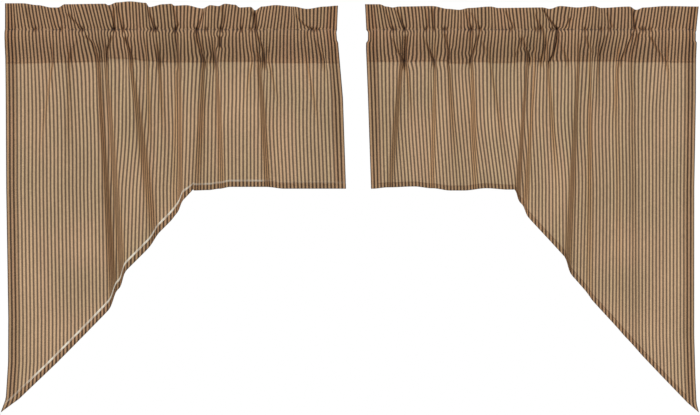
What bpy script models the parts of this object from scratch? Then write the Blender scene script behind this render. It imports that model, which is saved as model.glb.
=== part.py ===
"""Swag and tail drape: a mirrored pair of ticking panels, each one cloth gathered along a rod pocket.

Frame: metres, +Z up, front towards -Y, +X to the viewer's right. X = 0 is midway between the two
panels and Z = 0 is their nominal top edge. Each panel is two solids: the heading, which is a ruffle
above an open rod pocket, and the swag that hangs below it and runs out into the long tail.
Distances called reach are measured sideways from X = 0, so both panels share the same functions.
"""
import math
from collections import namedtuple

import bmesh
import bpy

# Driving sizes
CLOTH = 0.0015          # thickness of the cloth in the solids
HALF_SEAM = 0.0016      # half the thickness where the two layers are stitched together
SEAM_GAP = 0.0003       # gap between heading and swag
HEADER = 0.057          # ruffle above the pocket
POCKET_END = 0.129      # depth of the pocket's lower stitch line below the top edge
ROD_AXIS = 0.0725       # depth of the rod's axis below the top edge
ROD_ROOM = 0.014        # radius of the rod that the pocket takes
SHORT_DROP = 0.412      # top edge to straight hem
TAIL_DROP = 0.911       # top edge to the tip of the tail
FOLD_REACH = 0.050      # how far beside a fold the cloth eases back to the panel's plane
SWAG_ROWS = 15          # rows of faces down the swag
WIDEST_COLUMN = 0.034   # flat stretches wider than this take one more column
COLUMN_OFFSET = 1.3     # columns stand this many half widths to each side of a fold's middle
HEM_TURNS = 4           # turns in which the slanted hem settles on the folds
LEAN = 0.7              # how far the ruffle leans forward for each unit that its edge rises

# Edges of a panel: reach of its outer and inner edge at each drop below the top.
Edge = namedtuple("Edge", "drop outer inner")
# The wavy top edge: rise of the ruffle at each reach.
Crest = namedtuple("Crest", "reach rise")
# One flank of a fold: reach at the pocket and at its lower end, the drop where it ends, half width,
# and how far the cloth steps forward there, going outward, at the pocket, halfway and at the end.
Fold = namedtuple("Fold", "high low end half_width step_high step_mid step_low")

LEFT = {
    "side": -1,
    "corner": 0.352,
    "edges": (
        Edge(0.000, 0.7730, 0.0306),
        Edge(0.056, 0.7730, 0.0328),
        Edge(0.100, 0.7725, 0.0290),
        Edge(0.210, 0.7715, 0.0194),
        Edge(0.410, 0.7705, 0.0127),
        Edge(0.700, 0.7660, 0.0127),
        Edge(0.800, 0.7665, 0.0127),
        Edge(0.880, 0.7715, 0.0127),
        Edge(0.911, 0.7830, 0.0127),
    ),
    "crests": (
        Crest(0.031, -0.004),
        Crest(0.100, -0.010),
        Crest(0.169, -0.002),
        Crest(0.212, -0.010),
        Crest(0.280, 0.000),
        Crest(0.338, -0.009),
        Crest(0.387, -0.002),
        Crest(0.445, -0.005),
        Crest(0.503, 0.006),
        Crest(0.543, -0.002),
        Crest(0.637, 0.000),
        Crest(0.677, -0.007),
        Crest(0.758, 0.002),
    ),
    "folds": (
        Fold(0.100, 0.066, 0.330, 0.006, -0.004, -0.010, 0.000),
        Fold(0.209, 0.187, 0.420, 0.006, 0.005, 0.023, 0.020),
        Fold(0.303, 0.289, 0.415, 0.005, -0.007, -0.017, -0.018),
        Fold(0.332, 0.345, 0.420, 0.006, 0.006, 0.014, 0.010),
        Fold(0.385, 0.382, 0.450, 0.004, -0.005, -0.015, -0.021),
        Fold(0.494, 0.441, 0.515, 0.008, 0.006, 0.027, 0.028),
        Fold(0.549, 0.509, 0.650, 0.006, -0.006, -0.018, -0.034),
        Fold(0.568, 0.532, 0.650, 0.005, 0.003, 0.010, 0.032),
        Fold(0.630, 0.635, 0.420, 0.008, 0.004, 0.009, 0.000),
    ),
}
RIGHT = {
    "side": 1,
    "corner": 0.361,
    "edges": (
        Edge(0.000, 0.7723, 0.0297),
        Edge(0.056, 0.7685, 0.0325),
        Edge(0.100, 0.7680, 0.0319),
        Edge(0.210, 0.7675, 0.0363),
        Edge(0.410, 0.7640, 0.0430),
        Edge(0.740, 0.7640, 0.0430),
        Edge(0.830, 0.7665, 0.0430),
        Edge(0.890, 0.7690, 0.0430),
        Edge(0.911, 0.7745, 0.0430),
    ),
    "crests": (
        Crest(0.030, -0.001),
        Crest(0.050, 0.000),
        Crest(0.090, -0.007),
        Crest(0.132, -0.004),
        Crest(0.230, -0.010),
        Crest(0.297, -0.005),
        Crest(0.337, -0.009),
        Crest(0.391, -0.006),
        Crest(0.431, -0.009),
        Crest(0.469, -0.005),
        Crest(0.500, -0.007),
        Crest(0.545, -0.005),
        Crest(0.638, -0.011),
        Crest(0.716, -0.002),
    ),
    "folds": (
        Fold(0.110, 0.085, 0.415, 0.006, -0.007, -0.021, -0.018),
        Fold(0.186, 0.179, 0.415, 0.005, 0.006, 0.013, 0.017),
        Fold(0.268, 0.275, 0.415, 0.006, 0.005, 0.021, 0.018),
        Fold(0.308, 0.353, 0.405, 0.007, -0.004, -0.010, 0.000),
        Fold(0.391, 0.366, 0.470, 0.004, -0.006, -0.013, -0.028),
        Fold(0.409, 0.386, 0.470, 0.004, 0.003, 0.006, 0.026),
        Fold(0.436, 0.460, 0.440, 0.005, 0.006, 0.012, 0.000),
        Fold(0.505, 0.481, 0.600, 0.006, -0.005, -0.018, -0.036),
        Fold(0.531, 0.531, 0.580, 0.005, 0.004, 0.012, 0.010),
        Fold(0.623, 0.636, 0.770, 0.010, -0.004, -0.019, -0.016),
    ),
}

# The heading's cross-section: half depth of its outside at each drop.
Section = namedtuple("Section", "drop half_depth")


def round_rod(drop):
    """The pocket's outside where the cloth lies round the rod."""
    return Section(drop, math.sqrt(ROD_ROOM**2 - (drop - ROD_AXIS) ** 2) + CLOTH)


FLAP = (
    Section(0.000, HALF_SEAM),
    Section(0.030, HALF_SEAM),
    Section(HEADER, HALF_SEAM),
)
WALL = (
    round_rod(0.0615),
    round_rod(0.0665),
    round_rod(0.0740),
    Section(0.0860, 0.0135),
    Section(0.1020, 0.0085),
    Section(0.1160, 0.0046),
)
CHANNEL_TOP = 0.0585    # drops where the open channel of the pocket starts and ends
CHANNEL_END = 0.1225


def between(low, high, share):
    return low + (high - low) * share


def table_value(rows, key, value, at):
    """Reads one column of a table at a place between its rows."""
    if at <= getattr(rows[0], key):
        return getattr(rows[0], value)
    for first, second in zip(rows, rows[1:]):
        start, stop = getattr(first, key), getattr(second, key)
        if at <= stop:
            share = (at - start) / (stop - start)
            return between(getattr(first, value), getattr(second, value), share)
    return getattr(rows[-1], value)


def edge_reaches(panel, drop):
    inner = table_value(panel["edges"], "drop", "inner", drop)
    outer = table_value(panel["edges"], "drop", "outer", drop)
    return inner, outer


def share_across(panel, reach, drop):
    """0 at the panel's inner edge, 1 at its outer edge."""
    inner, outer = edge_reaches(panel, drop)
    return (reach - inner) / (outer - inner)


def reach_of(panel, share, drop):
    inner, outer = edge_reaches(panel, drop)
    return between(inner, outer, share)


def way_down(drop, end):
    """0 at the pocket's lower stitch line, 1 from the drop where a fold ends."""
    return min(max((drop - POCKET_END) / (end - POCKET_END), 0.0), 1.0)


def fold_middle(panel, fold, drop):
    high = share_across(panel, fold.high, POCKET_END)
    low = share_across(panel, fold.low, fold.end)
    return reach_of(panel, between(high, low, way_down(drop, fold.end)), drop)


def fold_step(fold, drop):
    way = 2 * way_down(drop, fold.end)
    if way < 1:
        return between(fold.step_high, fold.step_mid, way)
    return between(fold.step_mid, fold.step_low, way - 1)


def hang_depth(panel, reach, drop):
    """Y of the hanging cloth. Each flank is a narrow step that eases back to the panel's plane."""
    depth = 0.0
    for fold in panel["folds"]:
        offset = reach - fold_middle(panel, fold, drop)
        rise = math.tanh(offset / fold.half_width) - math.tanh(offset / FOLD_REACH)
        depth -= fold_step(fold, drop) * rise / 2
    return depth


def columns_of(panel):
    """Columns as (share at the pocket, share at the fold's end, that end): both sides of each fold."""
    columns = [(0.0, 0.0, SHORT_DROP)]
    for fold in panel["folds"]:
        for side in (-COLUMN_OFFSET, COLUMN_OFFSET):
            aside = side * fold.half_width
            high = share_across(panel, fold.high + aside, POCKET_END)
            low = share_across(panel, fold.low + aside, fold.end)
            columns.append((high, low, fold.end))
    columns.append((1.0, 1.0, TAIL_DROP))
    width = edge_reaches(panel, POCKET_END)[1] - edge_reaches(panel, POCKET_END)[0]
    filled = [columns[0]]
    for first, second in zip(columns, columns[1:]):
        extra = int((second[0] - first[0]) * width / WIDEST_COLUMN)
        for step in range(extra):
            part = (step + 1) / (extra + 1)
            filled.append(tuple(between(a, b, part) for a, b in zip(first, second)))
        filled.append(second)
    return filled


def column_reach(panel, column, drop):
    high, low, end = column
    return reach_of(panel, between(high, low, way_down(drop, end)), drop)


def hem_drops(panel, columns):
    """Drop of the hem at each column: level to the corner, then a straight cut along the flat cloth.
    Lengths along the cloth depend on the drops that they are measured at, so both settle in turns."""
    drops = [SHORT_DROP] * len(columns)
    for turn in range(HEM_TURNS):
        lengths = [0.0]
        for first, second, drop in zip(columns, columns[1:], drops[1:]):
            reaches = [column_reach(panel, column, drop) for column in (first, second)]
            places = [(reach, hang_depth(panel, reach, drop)) for reach in reaches]
            lengths.append(lengths[-1] + math.dist(*places))
        reaches = [column_reach(panel, column, SHORT_DROP) for column in columns]
        past = [span for span, reach in zip(lengths, reaches) if reach >= panel["corner"]]
        slope = (TAIL_DROP - SHORT_DROP) / (past[-1] - past[0])
        drops = [SHORT_DROP + slope * max(span - past[0], 0.0) for span in lengths]
    return drops


def fabric(name, color):
    material = bpy.data.materials.new(name)
    material.use_nodes = True
    shader = material.node_tree.nodes["Principled BSDF"]
    shader.inputs["Base Color"].default_value = (*color, 1.0)
    shader.inputs["Roughness"].default_value = 0.9
    shader.inputs["Metallic"].default_value = 0.0
    return material


def add_object(name, form, material, collection):
    mesh = bpy.data.meshes.new(name)
    bmesh.ops.recalc_face_normals(form, faces=form.faces)
    form.to_mesh(mesh)
    form.free()
    mesh.materials.append(material)
    made = bpy.data.objects.new(name, mesh)
    collection.objects.link(made)
    return made


def make_swag(name, panel, material, collection):
    """The hanging cloth: a grid laid on the folds, thickened to both sides."""
    columns = columns_of(panel)
    hems = hem_drops(panel, columns)
    top = POCKET_END + SEAM_GAP
    form = bmesh.new()
    bmesh.ops.create_grid(form, x_segments=len(columns) - 1, y_segments=SWAG_ROWS, size=1.0)
    for vert in form.verts:
        column = round((vert.co.x + 1) / 2 * (len(columns) - 1))
        down = (1 - vert.co.y) / 2
        drop = between(top, hems[column], down)
        reach = column_reach(panel, columns[column], drop)
        depth = hang_depth(panel, reach, drop)
        vert.co = (panel["side"] * reach, depth, -drop)
    made = add_object(name, form, material, collection)
    thickness = made.modifiers.new("cloth", "SOLIDIFY")
    thickness.thickness = CLOTH
    thickness.offset = 0.0
    return made


def heading_place(panel, column, drop, half_depth):
    """A point of the heading: the ruffle rises and leans with its crests, and the pocket is straight
    along the rod and takes up the swag's folds at its lower stitch line."""
    reach = column_reach(panel, column, drop)
    rise = table_value(panel["crests"], "reach", "rise", reach)
    ruffle = max(1 - drop / HEADER, 0.0)
    gather = min(max((drop - ROD_AXIS) / (POCKET_END - ROD_AXIS), 0.0), 1.0)
    shift = hang_depth(panel, reach, POCKET_END) * gather - LEAN * rise * ruffle
    return (panel["side"] * reach, shift + half_depth, rise * ruffle - drop)


def heading_rings(form, panel, column):
    """Vertices of one station: front and back of the outside, then of the channel."""
    outside = FLAP + WALL + (Section(POCKET_END, HALF_SEAM),)
    rings = []
    for side in (-1, 1):
        points = [heading_place(panel, column, s.drop, side * s.half_depth) for s in outside]
        rings.append([form.verts.new(point) for point in points])
    top = form.verts.new(heading_place(panel, column, CHANNEL_TOP, 0.0))
    end = form.verts.new(heading_place(panel, column, CHANNEL_END, 0.0))
    for side in (-1, 1):
        points = [heading_place(panel, column, s.drop, side * (s.half_depth - CLOTH)) for s in WALL]
        walls = [form.verts.new(point) for point in points]
        rings.append([top, *walls, end])
    return rings


def cap_heading(form, rings):
    """Closes one end of the heading, leaving the pocket's mouth open."""
    front, back, front_wall, back_wall = rings
    seam = len(FLAP) - 1
    for row in range(seam):
        form.faces.new((front[row], front[row + 1], back[row + 1], back[row]))
    for outer, inner in ((front, front_wall), (back, back_wall)):
        for row in range(len(WALL) + 1):
            corners = (outer[seam + row], outer[seam + row + 1], inner[row + 1], inner[row])
            form.faces.new(corners)
    form.faces.new((front[seam], front_wall[0], back[seam]))
    form.faces.new((front[-1], front_wall[-1], back[-1]))


def make_heading(name, panel, material, collection):
    form = bmesh.new()
    stations = [heading_rings(form, panel, column) for column in columns_of(panel)]
    for first, second in zip(stations, stations[1:]):
        for ring_a, ring_b in zip(first, second):
            for row in range(len(ring_a) - 1):
                form.faces.new((ring_a[row], ring_b[row], ring_b[row + 1], ring_a[row + 1]))
        for row in (0, -1):
            form.faces.new((first[0][row], second[0][row], second[1][row], first[1][row]))
    for station in (stations[0], stations[-1]):
        cap_heading(form, station)
    return add_object(name, form, material, collection)


def build():
    for made in list(bpy.data.objects):
        bpy.data.objects.remove(made, do_unlink=True)
    drape = bpy.data.collections.new("swag_and_tail_drape")
    bpy.context.scene.collection.children.link(drape)
    ticking = fabric("ticking_cloth", (0.32, 0.21, 0.125))
    doubled = fabric("ticking_cloth_doubled", (0.23, 0.145, 0.085))
    for hand, panel in (("left", LEFT), ("right", RIGHT)):
        make_heading(hand + "_heading", panel, doubled, drape)
        make_swag(hand + "_swag", panel, ticking, drape)


build()
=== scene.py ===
"""Looks of the swag and tail drape: two panels of striped ticking, gathered and hung.

Frame: the CAD's own, metres, +Z up, front towards -Y. Distances called reach are measured sideways
from the gap between the panels and drops are measured down from the nominal top edge. Each panel is
one cloth. It runs from the turned-up hem to the top edge, over it, and down behind to the pocket's
lower stitch line, and its side hems are turned behind it. The edges, the corners and the main folds
repeat those of the CAD, and slighter folds and the creases of the heading are added.
"""
import math
from collections import namedtuple

import bpy
import numpy as np
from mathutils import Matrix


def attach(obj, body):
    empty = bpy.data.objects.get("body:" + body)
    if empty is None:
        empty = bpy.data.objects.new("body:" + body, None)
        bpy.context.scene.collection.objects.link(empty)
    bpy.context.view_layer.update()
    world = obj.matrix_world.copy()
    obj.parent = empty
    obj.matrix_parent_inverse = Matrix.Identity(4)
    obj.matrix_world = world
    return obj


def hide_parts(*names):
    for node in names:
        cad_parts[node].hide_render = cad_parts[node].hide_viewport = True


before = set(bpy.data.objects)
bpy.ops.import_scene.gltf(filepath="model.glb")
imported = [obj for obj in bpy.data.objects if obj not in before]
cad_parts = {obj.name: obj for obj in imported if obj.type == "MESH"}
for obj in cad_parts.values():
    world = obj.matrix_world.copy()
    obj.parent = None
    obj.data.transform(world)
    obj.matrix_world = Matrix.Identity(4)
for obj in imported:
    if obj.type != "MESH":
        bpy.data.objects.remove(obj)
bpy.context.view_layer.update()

# Sizes shared with the CAD
HEADER = 0.057          # ruffle above the rod pocket
ROD_AXIS = 0.0725       # depth of the rod's axis
POCKET_END = 0.129      # the pocket's lower stitch line
SHORT_DROP = 0.412      # top edge to straight hem
TAIL_DROP = 0.911       # top edge to the tip of the tail
POCKET_ROOM = 0.0155    # half depth of the pocket round the rod
FOLD_REACH = 0.050      # how far beside a fold the cloth eases back
LEAN = 0.7              # how far the ruffle leans forward for each unit that its edge rises

# The cloth itself
FLAT_WIDTH = 0.905      # finished width of the flat cloth
SIDE_HEM = 0.025        # turned behind at each side
LAYER = 0.0007          # half the distance between two layers sewn together
BEHIND = 0.0012         # a turned hem lies this far behind the face
FADE = 0.010            # below the pocket the face eases back over this height
CLOSING = 0.8           # how sharply the pocket closes below the rod
OVERLAP = 0.001         # the cloth turned over behind ends this far below the stitch line
BEND = 0.030            # the hem turns from level to slanted over this width
SLANT = 0.70            # cosine of the slanted cut

# Creases and puckers of the heading
RUN_OUT = 0.008         # a crease runs out over this height past its ends
CARRY_ON = 0.028        # but one that reaches the pocket's lower stitch line runs out over this
NEAR_SEAM = 0.116       # drop from which a crease counts as reaching it
UPPER_SIDE = 1.8        # a crease is this much wider on its upper side
PUCKER_DEPTH = 0.0048   # puckers where the gathers meet the heading's seam
PUCKER_WIDTH = 0.0030
PUCKER_HEIGHT = 0.0060
DEEP_CREASE = 0.005     # a crease this deep gets the darkest painted shade
CREASE_POWER = 1.5      # the higher, the lighter the painted shade of shallow creases
MOUTH_TOP, MOUTH_END = 0.058, 0.087     # drops between which the pocket's mouths stand open
MOUTH_EASE = 0.005      # and the height over which they open and close
MOUTH_REACH = 0.020     # how far into the panel an open mouth draws the stripes

# Hanging folds
TAUT_SHARE = 0.40       # a fold's width at the pocket, as a share of its tabled width
LOOSE_SHARE = 1.65      # and at its end
CRISP = (1.7, 1.2, 1.1) # its steps against the tabled ones: at the pocket, halfway, at the end
STEEP = 1.2             # slope at which a flank gets the darkest painted shade
NUDGE = 0.0005          # slopes are measured this far to each side

# How the stripes are drawn together
TOP_PULL, LOW_PULL = 0.85, 0.45     # shares of the tabled leans that the cloth's face takes
FAN = 0.110             # the stripes that a gather pulls in fan out again over this height
STRETCH_ROUNDS = 4      # rounds of sharing out what the widest columns give up
LOCAL = 0.018           # a crease draws the stripes in over about this far to each side
EVEN = 0.050            # wider differences even out over this height
CRINKLE = 1.8           # hanging flanks hold this much more cloth, in crinkles too fine to model

# The mesh
COLUMNS = 520           # from the face's one edge to its other
LEVELS = 420            # drops at which the folds are worked out
SAMPLES = 1800          # places along each level
BACK_ROWS = 24          # behind the heading
FRONT_ROWS = 50         # along its face
BODY_ROWS = 86          # from the pocket to the hem
SIDE_TURNS = (SIDE_HEM, 0.018, 0.010, 0.001)    # columns of a side hem, measured from its fold
HEM_TURNS = (0.0005, 0.004, 0.008)      # rows of the bottom hem, before the one at its full width

# Thread: cream along the left panel's hem, brown in the other seams
CREAM = (0.85, 0.80, 0.68)
BROWN_THREAD = (0.090, 0.050, 0.028)

# Slow unevenness of the hanging cloth, as waves: their height, radians per metre and start.
Wave = namedtuple("Wave", "height across down start")
WAVES = (Wave(0.0009, 21, 5, 0.6), Wave(0.00054, 47, -7, 2.1), Wave(0.000315, 97, 4, 1.3))
# Edges of a panel: reach of its outer and inner edge at each drop below the top.
Edge = namedtuple("Edge", "drop outer inner")
# The wavy top edge: rise of the ruffle at each reach.
Crest = namedtuple("Crest", "reach rise")
# One flank of a hanging fold: reach at the pocket and at its lower end, the drop where it ends, half
# width, and how far the cloth steps forward there, going outward, at the pocket, halfway and at the
# end. The first rows are the CAD's, some of them with softer or deeper steps, and the rest are
# slighter ones.
Fold = namedtuple("Fold", "high low end half_width step_high step_mid step_low")
# A crease of the heading: its depth where its path starts and ends, its half width and its path as
# (reach, drop).
Crease = namedtuple("Crease", "first last half_width path")
# How far outward the cloth leans at each reach, at the top edge and at the pocket's lower stitch
# line, from where it stands at the seam under the ruffle.
Lean = namedtuple("Lean", "reach top low")
# How much the level hem, or the lower end of the doubled heading, hangs lower at each reach.
Sag = namedtuple("Sag", "reach more")
# The thread along the hem: how strongly it shows, its half width, and the share of its strength near
# the inner edge, along the rest of the level hem and along the slanted one.
Thread = namedtuple("Thread", "color strength half_width inner level slanted")

FINE, BROAD = 0.0017, 0.0028    # half widths of creases

# Each panel's side is -1 for the left and 1 for the right, its corner is the reach where the level
# hem ends, its hem is how wide the bottom hem is, its mouths are how far the inner and the outer edge
# stand back at the pocket's mouths, and its pinches are the reaches of the puckers.
LEFT = {
    "side": -1,
    "corner": 0.352,
    "hem": 0.0140,
    "mouths": (0.0020, 0.0000),
    "thread": Thread(CREAM, 1.0, 0.0018, 0.06, 0.32, 1.0),
    "edges": (
        Edge(0.000, 0.7730, 0.0306),
        Edge(0.056, 0.7730, 0.0328),
        Edge(0.100, 0.7725, 0.0290),
        Edge(0.210, 0.7715, 0.0194),
        Edge(0.410, 0.7705, 0.0127),
        Edge(0.700, 0.7660, 0.0127),
        Edge(0.800, 0.7665, 0.0127),
        Edge(0.880, 0.7715, 0.0127),
        Edge(0.911, 0.7830, 0.0127),
    ),
    "crests": (
        Crest(0.031, -0.004), Crest(0.060, -0.006), Crest(0.100, -0.011), Crest(0.130, -0.006),
        Crest(0.170, -0.003), Crest(0.200, -0.006), Crest(0.216, -0.014), Crest(0.225, -0.007),
        Crest(0.250, -0.008), Crest(0.260, -0.002), Crest(0.283, 0.000), Crest(0.297, -0.005),
        Crest(0.315, -0.003), Crest(0.333, -0.010), Crest(0.370, -0.003), Crest(0.396, -0.004),
        Crest(0.402, 0.000), Crest(0.420, -0.001), Crest(0.452, -0.007), Crest(0.459, 0.002),
        Crest(0.495, 0.005), Crest(0.523, 0.003), Crest(0.543, -0.003), Crest(0.550, 0.000),
        Crest(0.640, -0.001), Crest(0.656, -0.008), Crest(0.670, -0.008), Crest(0.700, -0.003),
        Crest(0.735, 0.001), Crest(0.773, 0.001),
    ),
    "folds": (
        Fold(0.100, 0.066, 0.330, 0.006, -0.004, -0.010, 0.000),
        Fold(0.209, 0.187, 0.420, 0.006, 0.005, 0.023, 0.020),
        Fold(0.303, 0.289, 0.415, 0.005, -0.007, -0.017, -0.018),
        Fold(0.332, 0.345, 0.420, 0.006, 0.006, 0.014, 0.010),
        Fold(0.385, 0.382, 0.450, 0.004, -0.005, -0.015, -0.021),
        Fold(0.494, 0.441, 0.515, 0.008, 0.006, 0.027, 0.028),
        Fold(0.549, 0.509, 0.650, 0.006, -0.006, -0.023, -0.034),
        Fold(0.568, 0.532, 0.650, 0.005, 0.003, 0.016, 0.032),
        Fold(0.630, 0.635, 0.420, 0.008, 0.004, 0.009, 0.000),
        Fold(0.062, 0.045, 0.260, 0.005, -0.003, -0.003, 0.000),
        Fold(0.185, 0.155, 0.260, 0.005, -0.004, -0.005, 0.000),
        Fold(0.222, 0.246, 0.250, 0.005, -0.005, -0.004, 0.000),
        Fold(0.430, 0.420, 0.340, 0.005, 0.006, 0.006, 0.000),
        Fold(0.456, 0.449, 0.370, 0.005, -0.006, -0.009, 0.000),
        Fold(0.562, 0.560, 0.350, 0.004, 0.004, 0.004, 0.000),
        Fold(0.392, 0.398, 0.430, 0.005, -0.003, -0.011, -0.010),
        Fold(0.668, 0.706, 0.400, 0.006, -0.005, -0.007, 0.000),
    ),
    "creases": (
        Crease(0.0020, 0.0020, BROAD, ((0.723, 0.012), (0.708, 0.055))),
        Crease(0.0015, 0.0022, BROAD, ((0.672, 0.015), (0.660, 0.050))),
        Crease(0.0022, 0.0010, FINE, ((0.647, 0.004), (0.645, 0.040))),
        Crease(0.0045, 0.0030, FINE, ((0.630, 0.025), (0.600, 0.057))),
        Crease(0.0015, 0.0015, FINE, ((0.542, 0.004), (0.536, 0.030))),
        Crease(0.0035, 0.0060, FINE, ((0.530, 0.016), (0.529, 0.057))),
        Crease(0.0030, 0.0030, FINE, ((0.522, 0.010), (0.509, 0.060))),
        Crease(0.0025, 0.0055, FINE, ((0.455, 0.006), (0.436, 0.057))),
        Crease(0.0020, 0.0045, FINE, ((0.398, 0.004), (0.387, 0.045), (0.393, 0.060))),
        Crease(0.0020, 0.0040, FINE, ((0.330, 0.012), (0.347, 0.060))),
        Crease(0.0030, 0.0035, BROAD, ((0.289, 0.006), (0.285, 0.030), (0.292, 0.060))),
        Crease(0.0015, 0.0030, FINE, ((0.245, 0.030), (0.247, 0.060))),
        Crease(0.0060, 0.0045, BROAD, ((0.216, 0.012), (0.213, 0.050))),
        Crease(0.0025, 0.0045, FINE, ((0.122, 0.025), (0.105, 0.045), (0.083, 0.058))),
        Crease(0.0010, 0.0030, BROAD, ((0.668, 0.100), (0.668, 0.129))),
        Crease(0.0015, 0.0025, BROAD, ((0.612, 0.085), (0.625, 0.108), (0.630, 0.129))),
        Crease(0.0045, 0.0020, FINE, ((0.590, 0.075), (0.577, 0.086), (0.562, 0.129))),
        Crease(0.0035, 0.0065, FINE, ((0.536, 0.075), (0.546, 0.105), (0.547, 0.128))),
        Crease(0.0060, 0.0040, FINE, ((0.503, 0.078), (0.495, 0.100), (0.489, 0.125))),
        Crease(0.0010, 0.0045, BROAD, ((0.434, 0.080), (0.428, 0.129))),
        Crease(0.0025, 0.0045, BROAD, ((0.392, 0.060), (0.388, 0.129))),
        Crease(0.0040, 0.0040, FINE, ((0.345, 0.066), (0.343, 0.085), (0.327, 0.129))),
        Crease(0.0015, 0.0050, BROAD, ((0.316, 0.080), (0.303, 0.132))),
        Crease(0.0065, 0.0055, FINE, ((0.294, 0.076), (0.294, 0.094))),
        Crease(0.0030, 0.0060, FINE, ((0.214, 0.060), (0.197, 0.100), (0.194, 0.129))),
        Crease(0.0020, 0.0040, FINE, ((0.207, 0.112), (0.199, 0.130))),
        Crease(0.0020, 0.0010, FINE, ((0.100, 0.064), (0.101, 0.088))),
        Crease(0.0020, 0.0030, FINE, ((0.077, 0.085), (0.062, 0.129))),
    ),
    "leans": (
        Lean(0.031, 0.000, 0.000), Lean(0.070, 0.001, -0.010), Lean(0.090, 0.011, -0.008),
        Lean(0.112, 0.015, -0.003), Lean(0.140, 0.003, 0.000), Lean(0.185, 0.000, -0.002),
        Lean(0.210, -0.003, -0.012), Lean(0.228, 0.000, -0.004), Lean(0.262, -0.004, 0.000),
        Lean(0.286, -0.006, 0.004), Lean(0.303, 0.003, -0.004), Lean(0.322, 0.002, -0.012),
        Lean(0.342, -0.009, -0.013), Lean(0.365, 0.004, -0.004), Lean(0.395, 0.008, -0.003),
        Lean(0.438, 0.012, -0.008), Lean(0.462, 0.004, -0.002), Lean(0.495, 0.002, -0.004),
        Lean(0.512, 0.013, -0.012), Lean(0.530, 0.010, 0.006), Lean(0.548, 0.012, 0.000),
        Lean(0.580, 0.013, -0.016), Lean(0.606, 0.017, -0.008), Lean(0.622, 0.010, 0.006),
        Lean(0.645, 0.005, 0.006), Lean(0.662, 0.012, 0.004), Lean(0.700, 0.009, 0.003),
        Lean(0.725, 0.010, 0.000), Lean(0.773, 0.000, 0.000),
    ),
    "pinches": (0.078, 0.088, 0.213, 0.225, 0.246, 0.292, 0.325, 0.346, 0.393, 0.437, 0.446,
                0.509, 0.529, 0.600, 0.648, 0.705),
    "sags": (Sag(0.150, 0.000), Sag(0.190, -0.004), Sag(0.270, -0.004), Sag(0.295, 0.000),
             Sag(0.320, 0.003), Sag(0.350, 0.004)),
    "endings": (Sag(0.030, 0.003), Sag(0.195, 0.003), Sag(0.200, 0.000), Sag(0.295, 0.000),
                Sag(0.302, 0.002), Sag(0.420, 0.001), Sag(0.460, -0.002), Sag(0.492, -0.006),
                Sag(0.542, -0.007), Sag(0.548, 0.000), Sag(0.660, 0.002), Sag(0.740, 0.004)),
}
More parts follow.
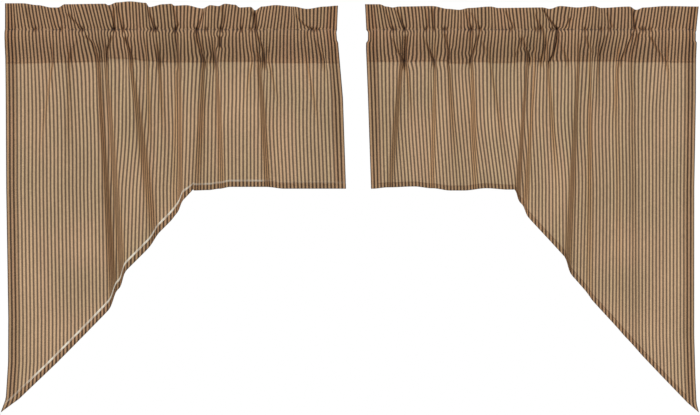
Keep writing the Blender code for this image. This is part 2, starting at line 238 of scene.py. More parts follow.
RIGHT = {
    "side": 1,
    "corner": 0.361,
    "hem": 0.0105,
    "mouths": (0.0040, 0.0025),
    "thread": Thread(BROWN_THREAD, 0.45, 0.0005, 1.0, 1.0, 1.0),
    "edges": (
        Edge(0.000, 0.7723, 0.0297),
        Edge(0.056, 0.7685, 0.0325),
        Edge(0.100, 0.7680, 0.0319),
        Edge(0.210, 0.7675, 0.0363),
        Edge(0.410, 0.7640, 0.0430),
        Edge(0.740, 0.7640, 0.0430),
        Edge(0.830, 0.7665, 0.0430),
        Edge(0.890, 0.7690, 0.0430),
        Edge(0.911, 0.7745, 0.0430),
    ),
    "crests": (
        Crest(0.030, -0.001), Crest(0.062, -0.001), Crest(0.078, -0.006), Crest(0.092, -0.008),
        Crest(0.105, -0.006), Crest(0.180, -0.005), Crest(0.215, -0.011), Crest(0.240, -0.013),
        Crest(0.262, -0.009), Crest(0.310, -0.006), Crest(0.327, -0.009), Crest(0.425, -0.008),
        Crest(0.442, -0.011), Crest(0.465, -0.005), Crest(0.503, -0.008), Crest(0.540, -0.005),
        Crest(0.556, -0.009), Crest(0.620, -0.006), Crest(0.635, -0.013), Crest(0.652, -0.008),
        Crest(0.700, -0.005), Crest(0.772, -0.006),
    ),
    "folds": (
        Fold(0.110, 0.085, 0.415, 0.006, -0.007, -0.021, -0.018),
        Fold(0.186, 0.179, 0.415, 0.005, 0.006, 0.013, 0.017),
        Fold(0.268, 0.275, 0.415, 0.006, 0.005, 0.021, 0.018),
        Fold(0.308, 0.353, 0.405, 0.007, -0.004, -0.010, 0.000),
        Fold(0.391, 0.366, 0.470, 0.004, -0.006, -0.014, -0.021),
        Fold(0.409, 0.386, 0.470, 0.004, 0.003, 0.008, 0.019),
        Fold(0.436, 0.460, 0.440, 0.005, 0.006, 0.012, 0.000),
        Fold(0.505, 0.481, 0.600, 0.006, -0.005, -0.018, -0.036),
        Fold(0.531, 0.531, 0.580, 0.005, 0.004, 0.012, 0.010),
        Fold(0.623, 0.636, 0.770, 0.011, -0.004, -0.012, -0.013),
        Fold(0.121, 0.140, 0.300, 0.005, 0.005, 0.006, 0.000),
        Fold(0.216, 0.232, 0.390, 0.006, -0.006, -0.009, 0.000),
        Fold(0.363, 0.366, 0.190, 0.004, -0.003, 0.000, 0.000),
        Fold(0.550, 0.545, 0.290, 0.005, -0.004, -0.003, 0.000),
        Fold(0.595, 0.578, 0.320, 0.005, 0.004, 0.005, 0.000),
        Fold(0.703, 0.716, 0.240, 0.005, 0.004, 0.004, 0.000),
        Fold(0.590, 0.600, 0.760, 0.009, 0.002, 0.008, 0.012),
    ),
    "creases": (
        Crease(0.0020, 0.0030, FINE, ((0.077, 0.012), (0.091, 0.052))),
        Crease(0.0030, 0.0065, FINE, ((0.103, 0.012), (0.118, 0.055))),
        Crease(0.0020, 0.0030, FINE, ((0.165, 0.010), (0.170, 0.050))),
        Crease(0.0040, 0.0040, FINE, ((0.180, 0.010), (0.183, 0.050))),
        Crease(0.0020, 0.0040, FINE, ((0.255, 0.012), (0.268, 0.055))),
        Crease(0.0020, 0.0035, FINE, ((0.268, 0.015), (0.287, 0.055))),
        Crease(0.0025, 0.0030, FINE, ((0.345, 0.012), (0.363, 0.052))),
        Crease(0.0020, 0.0045, FINE, ((0.408, 0.018), (0.425, 0.057))),
        Crease(0.0045, 0.0060, FINE, ((0.430, 0.008), (0.457, 0.055))),
        Crease(0.0040, 0.0020, FINE, ((0.487, 0.032), (0.477, 0.052))),
        Crease(0.0020, 0.0035, FINE, ((0.572, 0.015), (0.580, 0.048))),
        Crease(0.0035, 0.0065, FINE, ((0.628, 0.008), (0.632, 0.050))),
        Crease(0.0015, 0.0020, BROAD, ((0.715, 0.025), (0.712, 0.050))),
        Crease(0.0025, 0.0045, FINE, ((0.092, 0.080), (0.100, 0.100), (0.117, 0.126))),
        Crease(0.0050, 0.0045, BROAD, ((0.120, 0.075), (0.118, 0.129))),
        Crease(0.0020, 0.0065, FINE, ((0.163, 0.080), (0.175, 0.105), (0.185, 0.128))),
        Crease(0.0040, 0.0045, FINE, ((0.208, 0.070), (0.217, 0.105), (0.216, 0.129))),
        Crease(0.0035, 0.0015, BROAD, ((0.265, 0.060), (0.265, 0.110))),
        Crease(0.0030, 0.0055, FINE, ((0.283, 0.070), (0.275, 0.090), (0.264, 0.125))),
        Crease(0.0025, 0.0020, FINE, ((0.292, 0.088), (0.301, 0.112))),
        Crease(0.0030, 0.0020, FINE, ((0.378, 0.080), (0.366, 0.115))),
        Crease(0.0030, 0.0040, FINE, ((0.380, 0.078), (0.398, 0.122))),
        Crease(0.0030, 0.0045, FINE, ((0.426, 0.062), (0.431, 0.090), (0.422, 0.125))),
        Crease(0.0055, 0.0065, FINE, ((0.458, 0.057), (0.455, 0.085), (0.447, 0.115), (0.438, 0.130))),
        Crease(0.0015, 0.0030, FINE, ((0.460, 0.080), (0.482, 0.126))),
        Crease(0.0030, 0.0020, FINE, ((0.521, 0.075), (0.536, 0.112))),
        Crease(0.0025, 0.0030, BROAD, ((0.566, 0.075), (0.552, 0.112))),
        Crease(0.0035, 0.0035, FINE, ((0.626, 0.068), (0.611, 0.100), (0.599, 0.127))),
        Crease(0.0050, 0.0020, BROAD, ((0.636, 0.070), (0.628, 0.105))),
        Crease(0.0040, 0.0020, FINE, ((0.668, 0.078), (0.682, 0.102), (0.701, 0.129))),
    ),
    "leans": (
        Lean(0.033, 0.000, 0.000), Lean(0.070, -0.006, 0.001), Lean(0.096, -0.011, 0.010),
        Lean(0.118, -0.013, -0.001), Lean(0.140, -0.003, 0.003), Lean(0.165, -0.004, 0.013),
        Lean(0.184, -0.003, 0.001), Lean(0.206, 0.003, 0.006), Lean(0.232, 0.000, 0.001),
        Lean(0.266, -0.008, -0.002), Lean(0.286, -0.012, -0.005), Lean(0.302, -0.004, 0.003),
        Lean(0.335, -0.009, 0.001), Lean(0.362, -0.013, 0.000), Lean(0.382, -0.008, -0.001),
        Lean(0.400, -0.008, 0.006), Lean(0.424, -0.010, 0.001), Lean(0.450, -0.015, -0.006),
        Lean(0.466, 0.002, 0.009), Lean(0.482, 0.008, 0.006), Lean(0.510, 0.003, 0.001),
        Lean(0.525, 0.004, 0.008), Lean(0.550, -0.001, -0.006), Lean(0.578, -0.007, -0.010),
        Lean(0.600, -0.003, -0.012), Lean(0.630, -0.004, -0.013), Lean(0.650, 0.003, -0.002),
        Lean(0.672, 0.002, 0.012), Lean(0.700, 0.001, 0.006), Lean(0.735, 0.003, 0.000),
        Lean(0.768, 0.002, 0.000),
    ),
    "pinches": (0.092, 0.118, 0.165, 0.183, 0.205, 0.211, 0.267, 0.285, 0.355, 0.410, 0.420,
                0.447, 0.458, 0.520, 0.556, 0.575, 0.632, 0.645, 0.652, 0.665),
    "sags": (Sag(0.047, 0.000), Sag(0.080, -0.003), Sag(0.140, -0.005), Sag(0.180, -0.001),
             Sag(0.220, 0.004), Sag(0.250, 0.004), Sag(0.300, -0.001), Sag(0.350, 0.002)),
    "endings": (Sag(0.120, 0.000), Sag(0.187, -0.001), Sag(0.212, 0.000), Sag(0.217, 0.004),
                Sag(0.262, 0.004), Sag(0.268, 0.000), Sag(0.300, 0.001), Sag(0.312, 0.003),
                Sag(0.360, 0.003), Sag(0.372, 0.000), Sag(0.600, -0.001), Sag(0.625, 0.001),
                Sag(0.700, 0.000), Sag(0.712, 0.002), Sag(0.750, 0.002)),
}


def smooth(share):
    share = np.clip(share, 0.0, 1.0)
    return share * share * (3 - 2 * share)


def column_of(rows, value):
    return np.array([getattr(row, value) for row in rows])


def eased(rows, key, value, at):
    """Reads a table at a place between its rows, easing in and out of each row."""
    keys, values = column_of(rows, key), column_of(rows, value)
    row = np.clip(np.searchsorted(keys, at) - 1, 0, len(keys) - 2)
    share = smooth((at - keys[row]) / (keys[row + 1] - keys[row]))
    return values[row] + (values[row + 1] - values[row]) * share


def edge_reaches(panel, drop):
    drops = column_of(panel["edges"], "drop")
    inner = np.interp(drop, drops, column_of(panel["edges"], "inner"))
    outer = np.interp(drop, drops, column_of(panel["edges"], "outer"))
    return inner, outer


# ---- Depth of the cloth ----

def way_down(drop, end):
    """0 at the pocket's lower stitch line, 1 from the drop where a fold ends."""
    return np.clip((drop - POCKET_END) / (end - POCKET_END), 0.0, 1.0)


def fold_middle(panel, fold, drop):
    """Reach of a hanging fold, which runs straight between its two places across the panel."""
    inner, outer = edge_reaches(panel, drop)
    high_in, high_out = edge_reaches(panel, POCKET_END)
    low_in, low_out = edge_reaches(panel, fold.end)
    high = (fold.high - high_in) / (high_out - high_in)
    low = (fold.low - low_in) / (low_out - low_in)
    return inner + (outer - inner) * (high + (low - high) * way_down(drop, fold.end))


def fold_step(fold, drop):
    steps = (fold.step_high * CRISP[0], fold.step_mid * CRISP[1], fold.step_low * CRISP[2])
    step = np.interp(way_down(drop, fold.end), (0.0, 0.5, 1.0), steps)
    return step * smooth((drop - HEADER) / (POCKET_END - HEADER))


def crease_depth(crease, reach, drop):
    """A groove along the crease's path, wider on its upper side, which runs out at both its ends."""
    reaches, drops = zip(*crease.path)
    offset = reach - np.interp(drop, drops, reaches)
    upper = offset * (reaches[-1] - reaches[0]) < 0
    half_width = crease.half_width * np.where(upper, UPPER_SIDE, 1.0)
    low_run = CARRY_ON if drops[-1] > NEAR_SEAM else RUN_OUT
    along = smooth((drop - drops[0] + RUN_OUT) / RUN_OUT)
    along = along * smooth((drops[-1] + low_run - drop) / low_run)
    depth = np.interp(drop, (drops[0], drops[-1]), (crease.first, crease.last))
    return depth * along * np.exp(-((offset / half_width) ** 2))


def drift(reach, drop):
    """Depth of the slow waves at a place."""
    return sum(wave.height * np.sin(wave.across * reach + wave.down * drop + wave.start)
               for wave in WAVES)


def gather(panel, reach, drop):
    """Depth of the heading's creases and of the puckers along its seam."""
    depth = sum(crease_depth(crease, reach, drop) for crease in panel["creases"])
    for place in panel["pinches"]:
        near = ((reach - place) / PUCKER_WIDTH) ** 2 + ((drop - HEADER) / PUCKER_HEIGHT) ** 2
        depth = depth + PUCKER_DEPTH * np.exp(-near)
    return depth


def hang_depth(panel, reach, drop):
    """Y of the cloth's face before the pocket rounds it."""
    depth = drift(reach, drop) + gather(panel, reach, drop)
    for fold in panel["folds"]:
        offset = reach - fold_middle(panel, fold, drop)
        widening = TAUT_SHARE + (LOOSE_SHARE - TAUT_SHARE) * way_down(drop, fold.end)
        rise = np.tanh(offset / (fold.half_width * widening)) - np.tanh(offset / FOLD_REACH)
        depth = depth - fold_step(fold, drop) * rise / 2
    return depth


def half_depth(drop):
    """How far each layer of the heading stands from its middle."""
    above = np.clip(POCKET_ROOM**2 - (drop - ROD_AXIS) ** 2, 0.0, None) ** 0.5
    down = np.clip((drop - ROD_AXIS) / (POCKET_END - ROD_AXIS), 0.0, 1.0)
    below = POCKET_ROOM * (0.5 + 0.5 * np.cos(math.pi * down)) ** CLOSING
    pocket = np.where(drop < ROD_AXIS, above, below)
    flat = LAYER * np.clip(1 - (drop - POCKET_END) / FADE, 0.0, 1.0)
    return np.maximum(pocket, flat)


# ---- Places of the columns, which are the places of the stripes ----

def leaning(panel, reach, drop):
    """How far outward the gathers pull the cloth at a place."""
    above = np.clip(1 - drop / HEADER, 0.0, 1.0)
    below = smooth((drop - HEADER) / (POCKET_END - HEADER)) * smooth(1 - (drop - POCKET_END) / FAN)
    top = TOP_PULL * eased(panel["leans"], "reach", "top", reach)
    low = LOW_PULL * eased(panel["leans"], "reach", "low", reach)
    return top * above + low * below


def unstretched(drops, table):
    """Cloth gathers but doesn't stretch: columns wider than on the flat cloth give way to the rest of
    their level. Near the straight hem the rule runs out, because the tail has no inner edge."""
    steps = np.diff(table, axis=1)
    widths = steps.sum(axis=1, keepdims=True)
    widest = FLAT_WIDTH / COLUMNS
    limited = steps
    for _ in range(STRETCH_ROUNDS):
        limited = np.clip(limited, 0.0, widest)
        room = widest - limited
        short = widths - limited.sum(axis=1, keepdims=True)
        limited = limited + room * short / room.sum(axis=1, keepdims=True)
    held = smooth((SHORT_DROP - drops) / FAN)[:, None]
    moves = np.cumsum((limited - steps) * held, axis=1)
    moves = np.concatenate((np.zeros((LEVELS, 1)), moves), axis=1)
    return table + settled(moves, drops, LOCAL / FLAT_WIDTH * COLUMNS)


def blurred(rows, cells):
    """Each row evened out over a number of cells, keeping the slope at its ends."""
    reach = int(3 * cells)
    weights = np.exp(-0.5 * (np.arange(-reach, reach + 1) / cells) ** 2)
    weights /= weights.sum()
    before = 2 * rows[:, :1] - rows[:, reach:0:-1]
    after = 2 * rows[:, -1:] - rows[:, -2:-reach - 2:-1]
    padded = np.concatenate((before, rows, after), axis=1)
    return np.array([np.convolve(row, weights, mode="valid") for row in padded])


def settled(table, drops, cells):
    """Keeps what a table's levels say close by, and evens out their wider differences."""
    wide = blurred(table, cells)
    return table - wide + blurred(wide.T, EVEN / drops[-1] * LEVELS).T


def level_table(panel):
    """For each level, the reach of every column. Columns stand evenly along the flat cloth, so the
    stripes crowd together wherever the cloth runs front to back. Each crease draws in only what is
    near it, and the wider differences even out down the cloth. Below the straight hem the cloth is
    measured from its outer edge, which is the only one left."""
    drops = np.linspace(0.0, TAIL_DROP + 0.02, LEVELS)
    inner, outer = edge_reaches(panel, drops)
    across = np.linspace(0.0, 1.0, SAMPLES)
    reaches = inner[:, None] + (outer - inner)[:, None] * across
    depths = hang_depth(panel, reaches, np.repeat(drops[:, None], SAMPLES, axis=1))
    level_steps = np.diff(reaches, axis=1)
    extra = np.cumsum(np.hypot(level_steps, np.diff(depths, axis=1)) - level_steps, axis=1)
    hanging = smooth((drops - HEADER) / (POCKET_END - HEADER))[:, None]
    crinkled = 1 + (CRINKLE - 1) * hanging
    extra = crinkled * np.concatenate((np.zeros((LEVELS, 1)), extra), axis=1)
    extra = settled(extra, drops, LOCAL / (outer[0] - inner[0]) * SAMPLES)
    flat = reaches - inner[:, None] + extra
    flat = flat - flat[:, :1]
    scale = FLAT_WIDTH / flat[:, -1]
    lowest = np.searchsorted(drops, SHORT_DROP)
    scale[lowest:] = scale[lowest]
    flat = FLAT_WIDTH - (flat[:, -1:] - flat) * scale[:, None]
    places = np.linspace(0.0, FLAT_WIDTH, COLUMNS + 1)
    table = np.array([np.interp(places, *level) for level in zip(flat, reaches)])
    return drops, unstretched(drops, table + leaning(panel, table, drops[:, None]))


def reach_at(drops, table, drop, column):
    """Reach of columns at any drops, between the levels of the table."""
    level = np.clip(drop / drops[-1] * (LEVELS - 1), 0, LEVELS - 1.001)
    low = level.astype(int)
    share = level - low
    return table[low, column] * (1 - share) + table[low + 1, column] * share


def mouth_step(panel, places, drop):
    """How far outward the inner edge, and inward the outer one, stands at the pocket's mouths."""
    open_part = smooth((drop - MOUTH_TOP) / MOUTH_EASE) * smooth((MOUTH_END - drop) / MOUTH_EASE)
    inner = panel["mouths"][0] * smooth(1 - places / MOUTH_REACH)
    outer = panel["mouths"][1] * smooth(1 - (FLAT_WIDTH - places) / MOUTH_REACH)
    return open_part * (inner - outer)


def hem_drops(panel, drops, table):
    """Drop of the hem at each column, level to the corner, then along a straight cut across the flat
    cloth to the tip of the tail. The second value is the cosine of the cut's slope."""
    columns = np.arange(COLUMNS + 1)
    places = columns / COLUMNS * FLAT_WIDTH
    reaches = reach_at(drops, table, np.full(COLUMNS + 1, SHORT_DROP), columns)
    corner = np.interp(panel["corner"], reaches, places)
    slope = (TAIL_DROP - SHORT_DROP) / (FLAT_WIDTH - corner)
    level = reaches < panel["corner"]
    sag = np.where(level, eased(panel["sags"], "reach", "more", reaches), 0.0)
    tilt = 1 - (1 - SLANT) * smooth((places - corner) / BEND)
    return SHORT_DROP + sag + slope * np.maximum(places - corner, 0.0), tilt


# ---- The mesh ----

# One row of the mesh: its drops, its layer (1 behind, 0 over the top edge, -1 the face) and how far
# it is turned up behind the hem.
Row = namedtuple("Row", "drops layer hem_turn")


def cloth_columns():
    """Which column of the level table each column of the mesh follows, from one turned side hem to
    the other, and its place on the flat cloth."""
    turns = np.array(SIDE_TURNS)
    near = np.rint(turns / FLAT_WIDTH * COLUMNS).astype(int)
    face = np.arange(COLUMNS + 1)
    columns = np.concatenate((near, face, COLUMNS - near[::-1]))
    flat = np.concatenate((-turns, face / COLUMNS * FLAT_WIDTH, FLAT_WIDTH + turns[::-1]))
    return columns, flat


def rows_of_cloth(hems, tilt, hem):
    """The rows from the back's lower end to the hem's."""
    across = np.ones_like(hems)
    rows = [Row(drop * across, 1, 0.0) for drop in np.linspace(POCKET_END + OVERLAP, 0.0, BACK_ROWS)]
    rows.append(Row(0.0 * across, 0, 0.0))
    rows += [Row(drop * across, -1, 0.0) for drop in np.linspace(0.0, POCKET_END, FRONT_ROWS)]
    for share in np.linspace(0.0, 1.0, BODY_ROWS + 1)[1:]:
        rows.append(Row(POCKET_END + (hems - POCKET_END) * share, -1, 0.0))
    for turn in (*HEM_TURNS, hem):
        rows.append(Row(hems - turn / tilt, -1, turn))
    return rows


def row_points(panel, row, reaches, side_hem):
    """Points of one row, from the face's depth, the layer and the hems turned behind it."""
    rise = eased(panel["crests"], "reach", "rise", reaches)
    ruffle = np.maximum(1 - row.drops / HEADER, 0.0)
    depths = hang_depth(panel, reaches, row.drops) - LEAN * rise * ruffle
    depths = depths + row.layer * half_depth(row.drops)
    behind = BEHIND * (side_hem.astype(float) + (row.hem_turn > 0))
    depths = depths + (-behind if row.layer > 0 else behind)
    heights = rise * ruffle - row.drops + (LAYER if row.layer == 0 else 0.0)
    return np.stack((panel["side"] * reaches, depths, heights), axis=1)


def row_shades(panel, row, reaches):
    """How dark the painted shade of the creases and the flanks is along one row."""
    crease_shades = np.clip(gather(panel, reaches, row.drops) / DEEP_CREASE, 0.0, 1.0) ** CREASE_POWER
    slopes = np.abs(hang_depth(panel, reaches + NUDGE, row.drops)
                    - hang_depth(panel, reaches - NUDGE, row.drops)) / (2 * NUDGE)
    return np.stack((crease_shades, smooth(slopes / STEEP)), axis=1)


def grid_faces(height, width, forward):
    """Quads of a grid of points, turned to face the front."""
    faces = []
    for row in range(height - 1):
        for column in range(width - 1):
            first = row * width + column
            face = (first, first + 1, first + width + 1, first + width)
            faces.append(face if forward else face[::-1])
    return faces


def make_cloth(name, panel):
    """The panel as one sheet. Its UV maps hold, at each point, the place on the flat cloth, the
    distances from the hem and from the doubled heading's end, and the painted shade of crease and
    flank."""
    drops, table = level_table(panel)
    hems, tilt = hem_drops(panel, drops, table)
    columns, flat = cloth_columns()
    side_hem = (flat < 0) | (flat > FLAT_WIDTH)
    rows = rows_of_cloth(hems[columns], tilt[columns], panel["hem"])
    points, flats, edges, shades = [], [], [], []
    for row in rows:
        reaches = reach_at(drops, table, row.drops, columns)
        reaches = reaches + mouth_step(panel, columns / COLUMNS * FLAT_WIDTH, row.drops)
        points.append(row_points(panel, row, reaches, side_hem))
        down = -row.drops if row.layer > 0 else row.drops + 2 * row.hem_turn
        flats.append(np.stack((flat, down), axis=1))
        above_hem = (hems[columns] - row.drops) * tilt[columns]
        above_hem = np.where(row.hem_turn > 0, -row.hem_turn, above_hem)
        ending = eased(panel["endings"], "reach", "more", reaches)
        edges.append(np.stack((above_hem, row.drops - POCKET_END - ending), axis=1))
        shades.append(row_shades(panel, row, reaches))
    mesh = bpy.data.meshes.new(name)
    faces = grid_faces(len(rows), len(columns), panel["side"] < 0)
    mesh.from_pydata(np.concatenate(points).tolist(), [], faces)
    mesh.shade_smooth()
    corners = np.empty(len(mesh.loops), dtype=np.int32)
    mesh.loops.foreach_get("vertex_index", corners)
    for title, values in (("cloth", flats), ("edge", edges), ("shade", shades)):
        uv_map = mesh.uv_layers.new(name=title)
        uv_map.uv.foreach_set("vector", np.concatenate(values)[corners].astype(np.float32).ravel())
    made = bpy.data.objects.new(name, mesh)
    bpy.context.scene.collection.objects.link(made)
    return made


# ---- Material ----

STRIPE_PITCH = 0.0087
DARK_SHARE = 0.48
# In shares of the pitch: how softly a stripe's edge blends, how far the stripe strays from its line,
# how ragged its edges are, and how far the seam under the ruffle tugs it aside.
SOFT, WANDER, RAGGED, TUG = 0.10, 0.10, 0.12, 1.1
TUG_HALF, TUG_SOFT = 0.0008, 0.0022     # half width of the tugged strip and how softly it ends

TAN = (0.565, 0.398, 0.228)
PINKISH_TAN = (0.505, 0.320, 0.192)
DARK = (0.130, 0.086, 0.056)
STRIPE_PINK = 0.45      # share of the pinkish tan that differs from stripe to stripe
BLOTCH_PINK = 0.40      # and the share that comes in blotches
BLOTCH_EDGE = (0.35, 0.60)      # values of the blotches' noise between which it comes
THREE_NOISES = (0.9, 2.1)       # what three noises add up to, nearly everywhere
YARN_SHADES = (0.78, 1.22)      # how dark and how light uneven yarns and dyes make the cloth
# Painted shade of doubled cloth, where less light passes through it, over its light and its dark
# stripes
HEADING_PAINTED_SHADES = ((0.94, 0.85, 0.79), (0.56, 0.48, 0.43))
HEM_PAINTED_SHADES = ((0.90, 0.83, 0.78), (0.58, 0.50, 0.45))
HEADING_SOFT = 0.0012   # how softly the painted shade of the doubled heading ends
HEM_SOFT = 0.001        # and the painted shade at a hem's inner end
# Painted shade in the creases and puckers of the heading and on the steep flanks of the hanging folds
CREASE_PAINTED_SHADE = (0.46, 0.38, 0.31)
FLANK_PAINTED_SHADE = (0.84, 0.72, 0.58)

STITCH = 0.0030         # length of a stitch
STITCH_RISE = (0.25, 0.40)      # shares of it between which the thread comes up
UPPER_SEAM, LOWER_SEAM = 0.0004, 0.0006     # half widths of the heading's two seams
SEAM_ABOVE = 0.002      # the lower one runs this far above the end of the doubled cloth
SEAM_SHOW = 0.75        # how strongly their thread shows
LINE_SOFT = 0.0006      # how softly the line of thread along the hem ends
# Places across the flat cloth between which that thread begins to show, turns the corner and fades.
LEVEL_START, CORNER_TURN, TAIL_FADE = (0.18, 0.21), (0.38, 0.42), (0.815, 0.875)
TAIL_LEFT = 0.25        # share of the thread's strength that is left at the tip of the tail
BROKEN = 0.4            # share of it that comes and goes with the stitches
CORNER_PLACE = 0.41     # about where on the flat cloth the hem turns down

WEAVE_PITCH = 0.0009
SEAM_SINK = 2.0         # how deep the seams lie, against the height of the weave
RELIEF, RELIEF_SHOW = 0.00015, 0.35
LIGHT_THROUGH = 0.18    # share of the light that passes through the cloth

# Noises over the flat cloth: features in a metre across and down, and how detailed they are.
Noise = namedtuple("Noise", "across down detail")
WANDERING = Noise(40.0, 9.0, 2.0)
RAGGEDNESS = Noise(300.0, 900.0, 1.0)
TUGS = Noise(190.0, 3.0, 2.0)
WARP = Noise(1300.0, 70.0, 2.0)
WEFT = Noise(70.0, 1300.0, 2.0)
BLOTCHES = Noise(9.0, 6.0, 2.0)
# Patches where a thread is fainter: their noise, the values between which the thread goes from its
# least strength to its full one, and the least.
Patches = namedtuple("Patches", "noise start full least")
SEAM_PATCHES = Patches(Noise(70.0, 30.0, 3.0), 0.40, 0.60, 0.30)
THREAD_PATCHES = Patches(Noise(45.0, 45.0, 3.0), 0.32, 0.60, 0.40)


class Nodes:
    """Short names for the nodes that the cloth and the light need."""

    def __init__(self, tree):
        self.tree = tree

    def new(self, kind, **settings):
        node = self.tree.nodes.new(kind)
        for key, value in settings.items():
            setattr(node, key, value)
        return node

    def link(self, value, socket):
        if isinstance(value, (int, float, tuple)):
            socket.default_value = value
        else:
            self.tree.links.new(value, socket)

    def math(self, operation, *values):
        node = self.new("ShaderNodeMath", operation=operation)
        for value, socket in zip(values, node.inputs):
            self.link(value, socket)
        return node.outputs[0]

    def product(self, first, *others):
        for other in others:
            first = self.math("MULTIPLY", first, other)
        return first

    def total(self, first, *others):
        for other in others:
            first = self.math("ADD", first, other)
        return first

    def ramp(self, value, start, stop, low=0.0, high=1.0):
        node = self.new("ShaderNodeMapRange", interpolation_type="SMOOTHSTEP")
        for given, socket in zip((value, start, stop, low, high), node.inputs):
            self.link(given, socket)
        return node.outputs[0]

    def mix(self, share, first, second, blend="MIX"):
        node = self.new("ShaderNodeMix", data_type="RGBA", blend_type=blend)
        colors = [(*c, 1.0) if isinstance(c, tuple) else c for c in (first, second)]
        self.link(share, node.inputs["Factor"])
        self.link(colors[0], node.inputs[6])
        self.link(colors[1], node.inputs[7])
        return node.outputs[2]

    def with_painted_shade(self, share, color, tint):
        """The color, multiplied by a tint of painted shade over a share of the cloth."""
        return self.mix(share, color, self.mix(1.0, color, tint, "MULTIPLY"))

    def grey(self, value):
        node = self.new("ShaderNodeCombineColor")
        for socket in node.inputs:
            self.link(value, socket)
        return node.outputs[0]

    def noise(self, place, noise):
        spot = self.new("ShaderNodeCombineXYZ")
        self.link(self.math("MULTIPLY", place[0], noise.across), spot.inputs[0])
        self.link(self.math("MULTIPLY", place[1], noise.down), spot.inputs[1])
        node = self.new("ShaderNodeTexNoise", noise_dimensions="2D")
        node.inputs["Detail"].default_value = noise.detail
        node.inputs["Scale"].default_value = 1.0
        self.link(spot.outputs[0], node.inputs["Vector"])
        return node.outputs["Fac"]

    def swing(self, place, noise, width):
        """A noise around zero."""
        return self.math("MULTIPLY", self.math("SUBTRACT", self.noise(place, noise), 0.5), width)

    def patchy(self, place, patches):
        noise = self.noise(place, patches.noise)
        return self.ramp(noise, patches.start, patches.full, patches.least, 1.0)

    def band(self, value, middle, half_width, soft):
        """1 within half a width of the middle."""
        away = self.math("ABSOLUTE", self.math("SUBTRACT", value, middle))
        return self.ramp(away, half_width, half_width + soft, 1.0, 0.0)

    def uv_of(self, name):
        """The two values of a UV map."""
        source = self.new("ShaderNodeUVMap", uv_map=name)
        split = self.new("ShaderNodeSeparateXYZ")
        self.link(source.outputs[0], split.inputs[0])
        return split.outputs[0], split.outputs[1]


def stripes(nodes, place):
    """The running number of the stripe at a place, and how dark it is there."""
    across, down = place
    seam = nodes.band(nodes.math("ABSOLUTE", down), HEADER, TUG_HALF, TUG_SOFT)
    tug = nodes.product(seam, nodes.swing(place, TUGS, TUG))
    stripe = nodes.total(nodes.math("DIVIDE", across, STRIPE_PITCH),
                         nodes.swing(place, WANDERING, WANDER),
                         nodes.swing(place, RAGGEDNESS, RAGGED), tug)
    away = nodes.math("ABSOLUTE", nodes.math("SUBTRACT", nodes.math("FRACT", stripe), 0.5))
    dark = nodes.ramp(away, 0.5 - DARK_SHARE / 2 - SOFT, 0.5 - DARK_SHARE / 2 + SOFT)
    return stripe, dark


def woven_color(nodes, place, stripe, dark, yarns):
    """Color of a single layer, with its uneven yarns and dyes."""
    number = nodes.new("ShaderNodeTexWhiteNoise", noise_dimensions="1D")
    nodes.link(nodes.math("FLOOR", stripe), number.inputs["W"])
    blotch = nodes.noise(place, BLOTCHES)
    pink = nodes.total(nodes.product(number.outputs["Value"], STRIPE_PINK),
                       nodes.ramp(blotch, *BLOTCH_EDGE, 0.0, BLOTCH_PINK))
    color = nodes.mix(dark, nodes.mix(pink, TAN, PINKISH_TAN), DARK)
    shade = nodes.ramp(nodes.total(yarns, blotch), *THREE_NOISES, *YARN_SHADES)
    return nodes.mix(1.0, color, nodes.grey(shade), "MULTIPLY")


def shaded_color(nodes, color, dark, across, above_hem, below_pocket, hem):
    """Paints shade on the doubled cloth of the heading and the hems, where less light passes through,
    and on the creases and flanks.
    """
    # Painted shade on the doubled heading and hems, where less light passes through two layers
    heading = nodes.ramp(below_pocket, 0.0, HEADING_SOFT, 1.0, 0.0)
    color = nodes.with_painted_shade(heading, color, nodes.mix(dark, *HEADING_PAINTED_SHADES))
    side = nodes.math("MINIMUM", across, nodes.math("SUBTRACT", FLAT_WIDTH, across))
    side = nodes.ramp(side, SIDE_HEM - HEM_SOFT, SIDE_HEM + HEM_SOFT, 1.0, 0.0)
    bottom = nodes.ramp(above_hem, hem, hem + HEM_SOFT, 1.0, 0.0)
    color = nodes.with_painted_shade(nodes.math("MAXIMUM", side, bottom), color, nodes.mix(dark, *HEM_PAINTED_SHADES))
    # Painted shade in the creases and on the steep flanks, read from the shade UV map
    groove, flank = nodes.uv_of("shade")
    color = nodes.with_painted_shade(groove, color, CREASE_PAINTED_SHADE)
    return nodes.with_painted_shade(flank, color, FLANK_PAINTED_SHADE)


def seam_lines(nodes, place, below_pocket, dash):
    """Where the thread of the heading's two seams shows."""
    upper = nodes.band(nodes.math("ABSOLUTE", place[1]), HEADER, UPPER_SEAM, UPPER_SEAM)
    lower = nodes.band(below_pocket, -SEAM_ABOVE, LOWER_SEAM, LOWER_SEAM)
    seams = nodes.math("MAXIMUM", upper, lower)
    return nodes.product(seams, dash, nodes.patchy(place, SEAM_PATCHES))


def hem_line(nodes, place, above_hem, dash, panel):
    """How strongly the thread along the hem shows."""
    across, thread = place[0], panel["thread"]
    line = nodes.band(above_hem, panel["hem"], thread.half_width, LINE_SOFT)
    level = nodes.ramp(across, *LEVEL_START, thread.inner, thread.level)
    slanted = nodes.ramp(across, *CORNER_TURN, 0.0, thread.slanted - thread.level)
    tail = nodes.ramp(across, *TAIL_FADE, 1.0, TAIL_LEFT)
    uneven = nodes.patchy(place, THREAD_PATCHES)
    stitched = nodes.total(nodes.product(dash, BROKEN), 1 - BROKEN)
    return nodes.product(line, nodes.total(level, slanted), tail, uneven, stitched, thread.strength)


def weave_bump(nodes, place, yarns, seams):
    """Relief of the weave, with the seams sunk into it."""
    turns = 2 * math.pi / WEAVE_PITCH
    weave = nodes.product(*(nodes.math("SINE", nodes.product(way, turns)) for way in place))
    height = nodes.math("SUBTRACT", nodes.total(weave, yarns), nodes.product(seams, SEAM_SINK))
    bump = nodes.new("ShaderNodeBump")
    bump.inputs["Strength"].default_value = RELIEF_SHOW
    bump.inputs["Distance"].default_value = RELIEF
    nodes.link(height, bump.inputs["Height"])
    return bump.outputs[0]


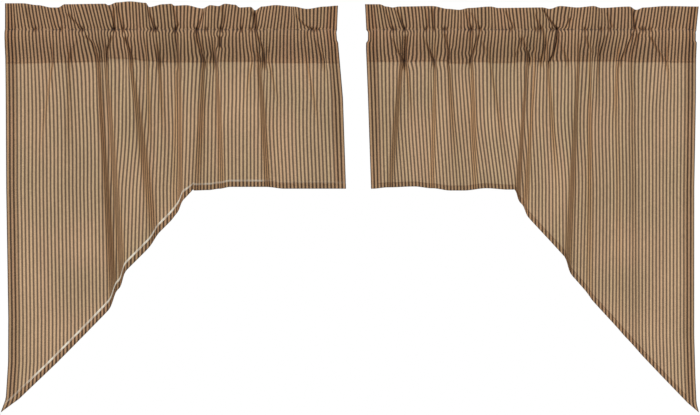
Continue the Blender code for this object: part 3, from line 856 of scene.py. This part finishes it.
def ticking(name, panel):
    """Yarn-dyed ticking: stripes woven in, painted shade on doubled cloth, creases and flanks, and the
    stitch lines.
    """
    material = bpy.data.materials.new(name)
    material.use_nodes = True
    nodes = Nodes(material.node_tree)
    place = nodes.uv_of("cloth")
    above_hem, below_pocket = nodes.uv_of("edge")
    stripe, dark = stripes(nodes, place)
    yarns = nodes.total(nodes.noise(place, WARP), nodes.noise(place, WEFT))
    color = woven_color(nodes, place, stripe, dark, yarns)
    color = shaded_color(nodes, color, dark, place[0], above_hem, below_pocket, panel["hem"])

    along_stitch = nodes.math("FRACT", nodes.math("DIVIDE", place[0], STITCH))
    dash = nodes.ramp(along_stitch, *STITCH_RISE)
    seams = seam_lines(nodes, place, below_pocket, dash)
    color = nodes.mix(nodes.product(seams, SEAM_SHOW), color, BROWN_THREAD)
    line = hem_line(nodes, place, above_hem, dash, panel)
    color = nodes.mix(line, color, panel["thread"].color)
    bump = weave_bump(nodes, place, yarns, seams)

    shader = material.node_tree.nodes["Principled BSDF"]
    shader.inputs["Roughness"].default_value = 0.92
    shader.inputs["Specular IOR Level"].default_value = 0.25
    shader.inputs["Sheen Weight"].default_value = 0.08
    shader.inputs["Sheen Roughness"].default_value = 0.6
    nodes.link(color, shader.inputs["Base Color"])
    through = nodes.new("ShaderNodeBsdfTranslucent")
    nodes.link(color, through.inputs["Color"])
    both = nodes.new("ShaderNodeMixShader")
    both.inputs["Fac"].default_value = LIGHT_THROUGH
    for socket, part in zip(list(both.inputs)[1:], (shader, through)):
        nodes.link(bump, part.inputs["Normal"])
        nodes.link(part.outputs[0], socket)
    output = material.node_tree.nodes["Material Output"]
    nodes.link(both.outputs[0], output.inputs["Surface"])
    return material


def declare(made, hand, hem):
    """Hangs the piece under the root and hides the CAD's parts that it stands for. It also works out
    how big the cloth was before it was gathered, which nothing uses.
    """
    width = FLAT_WIDTH + 2 * SIDE_HEM
    area = width * (SHORT_DROP + POCKET_END + hem)
    area += (width - CORNER_PLACE) * (TAIL_DROP - SHORT_DROP) / 2
    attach(made, "root")
    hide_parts(hand + "_swag", hand + "_heading")


# ---- Stage, light and camera ----

FLOOR_COLOR = (0.82, 0.82, 0.81, 1.0)
AMBIENT = 0.63          # strength of the white surroundings as a light; the camera sees them at 1
FRAME_MIDDLE = (-0.0038, -0.4538)       # X and Z of the middle of the picture


def make_floor():
    mesh = bpy.data.meshes.new("floor")
    half, height = 3.0, -1.25
    corners = ((-half, -half), (half, -half), (half, half), (-half, half))
    mesh.from_pydata([(x, y, height) for x, y in corners], [], [(0, 1, 2, 3)])
    floor = bpy.data.objects.new("floor", mesh)
    bpy.context.scene.collection.objects.link(floor)
    material = bpy.data.materials.new("pale_floor")
    material.use_nodes = True
    shader = material.node_tree.nodes["Principled BSDF"]
    shader.inputs["Base Color"].default_value = FLOOR_COLOR
    shader.inputs["Roughness"].default_value = 0.8
    mesh.materials.append(material)


def make_sun(name, strength, angle, turn):
    data = bpy.data.lights.new(name, "SUN")
    data.energy = strength
    data.angle = math.radians(angle)
    light = bpy.data.objects.new(name, data)
    light.rotation_euler = [math.radians(a) for a in turn]
    bpy.context.scene.collection.objects.link(light)


def make_light():
    world = bpy.data.worlds.new("studio")
    bpy.context.scene.world = world
    world.use_nodes = True
    nodes = Nodes(world.node_tree)
    seen = world.node_tree.nodes["Background"]
    seen.inputs["Color"].default_value = (1.0, 1.0, 1.0, 1.0)
    path = nodes.new("ShaderNodeLightPath")
    strength = nodes.ramp(path.outputs["Is Camera Ray"], 0.0, 1.0, AMBIENT, 1.0)
    nodes.link(strength, seen.inputs["Strength"])
    make_sun("key", strength=1.65, angle=35, turn=(50, 0, -30))
    make_sun("back_fill", strength=0.8, angle=60, turn=(-60, 0, 20))


def make_camera():
    distance, frame_width, sensor = 8.0, 1.561, 36.0
    data = bpy.data.cameras.new("camera")
    data.sensor_width = sensor
    data.lens = sensor * distance / frame_width
    camera = bpy.data.objects.new("camera", data)
    camera.location = (FRAME_MIDDLE[0], -distance, FRAME_MIDDLE[1])
    camera.rotation_euler = (math.radians(90), 0.0, 0.0)
    bpy.context.scene.collection.objects.link(camera)
    bpy.context.scene.camera = camera


left_cloth = make_cloth("left_drape_cloth", LEFT)
left_cloth.data.materials.append(ticking("ticking_left", LEFT))
declare(left_cloth, "left", LEFT["hem"])
right_cloth = make_cloth("right_drape_cloth", RIGHT)
right_cloth.data.materials.append(ticking("ticking_right", RIGHT))
declare(right_cloth, "right", RIGHT["hem"])
make_floor()
make_light()
make_camera()
bpy.context.scene.view_settings.view_transform = "Standard"
